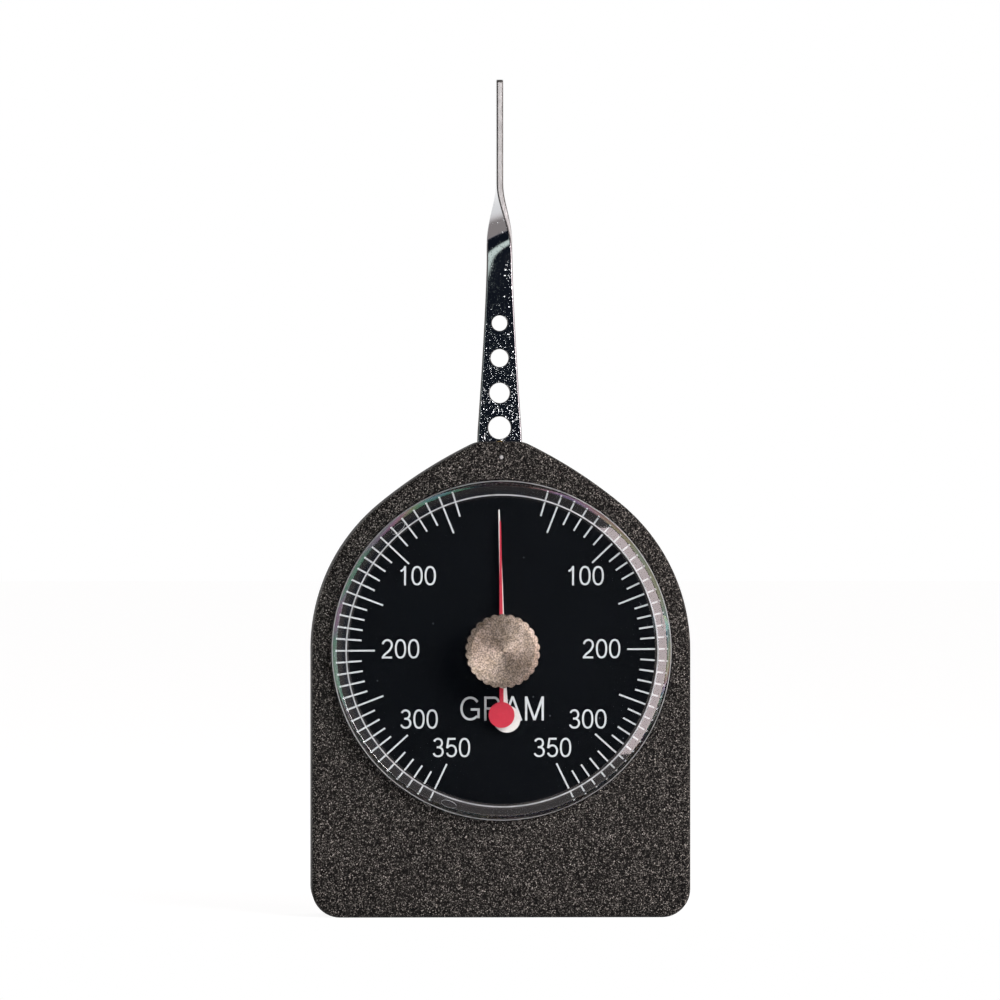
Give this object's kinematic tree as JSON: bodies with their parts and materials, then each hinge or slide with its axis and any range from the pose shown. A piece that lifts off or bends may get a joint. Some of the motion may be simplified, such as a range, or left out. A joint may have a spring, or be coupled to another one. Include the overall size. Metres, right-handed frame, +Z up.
{
  "type": "dial force gauge",
  "caption": "Pocket dial force gauge: a twisted feeler lever drives a two-way gram dial with a live and a maximum pointer.",
  "frame": {"origin": "middle of the case's flat base, halfway through the case's depth", "axes": "+X to the right as the dial is read, +Y from the dial to the back cover, +Z up along the lever to its tip"},
  "size_m": [0.06, 0.0265, 0.133],
  "materials": {
    "black_paint": "black crackle paint on a die-cast case",
    "clear_plastic": "clear moulded acrylic",
    "dial_black": "satin black with white print",
    "pointer_white": "white enamel",
    "pointer_red": "red enamel",
    "chrome": "polished chrome plate",
    "aged_brass": "turned brass, dulled by age",
    "brass": "turned brass",
    "steel": "turned steel",
    "spring_steel": "blued spring steel"
  },
  "bodies": {
    "housing": {"case": "black_paint", "back_cover": "black_paint", "cover_screw_1": "steel", "cover_screw_2": "steel", "cover_screw_3": "steel", "cover_screw_4": "steel", "crystal": "clear_plastic", "dial": "dial_black", "front_bush": "brass", "back_bush": "brass", "bridge_plate": "brass", "bridge_pillar_1": "brass", "bridge_pillar_2": "brass", "bridge_pillar_3": "brass", "bridge_screw_1": "steel", "bridge_screw_2": "steel", "bridge_screw_3": "steel", "measuring_spring": "spring_steel", "spring_stud": "brass", "lever_axle": "steel", "stop_pin_left": "steel", "stop_pin_right": "steel"},
    "lever_arm": {"lever": "chrome", "lever_hub": "brass", "sector_gear": "brass", "sector_rivet_1": "brass", "sector_rivet_2": "brass"},
    "live_movement": {"pinion_arbor": "steel", "pointer_hub": "brass", "live_pointer": "pointer_white", "drive_pin": "steel", "spring_collet": "brass"},
    "drag_movement": {"reset_knob": "aged_brass", "knob_spindle": "steel", "drag_hub": "brass", "drag_pointer": "pointer_red", "friction_washer": "spring_steel"}
  },
  "joints": [
    {"name": "lever_swing", "type": "hinge", "parent": "housing", "child": "lever_arm", "pos_m": [0, 0, 0.0729], "axis": [0, 1, 0], "range_deg": [-13.33, 13.33], "stiffness_Nm_per_rad": 0.88},
    {"name": "pointer_turn", "type": "hinge", "parent": "housing", "child": "live_movement", "pos_m": [0, 0, 0.04235], "axis": [0, 1, 0], "range_deg": [-160, 160], "deforming": ["measuring_spring"]},
    {"name": "reset_turn", "type": "hinge", "parent": "housing", "child": "drag_movement", "pos_m": [0, 0, 0.04235], "axis": [0, 1, 0], "range_deg": [-4, 334]}
  ],
  "couplings": [
    {"joint": "pointer_turn", "follows": "lever_swing", "ratio": -12}
  ]
}
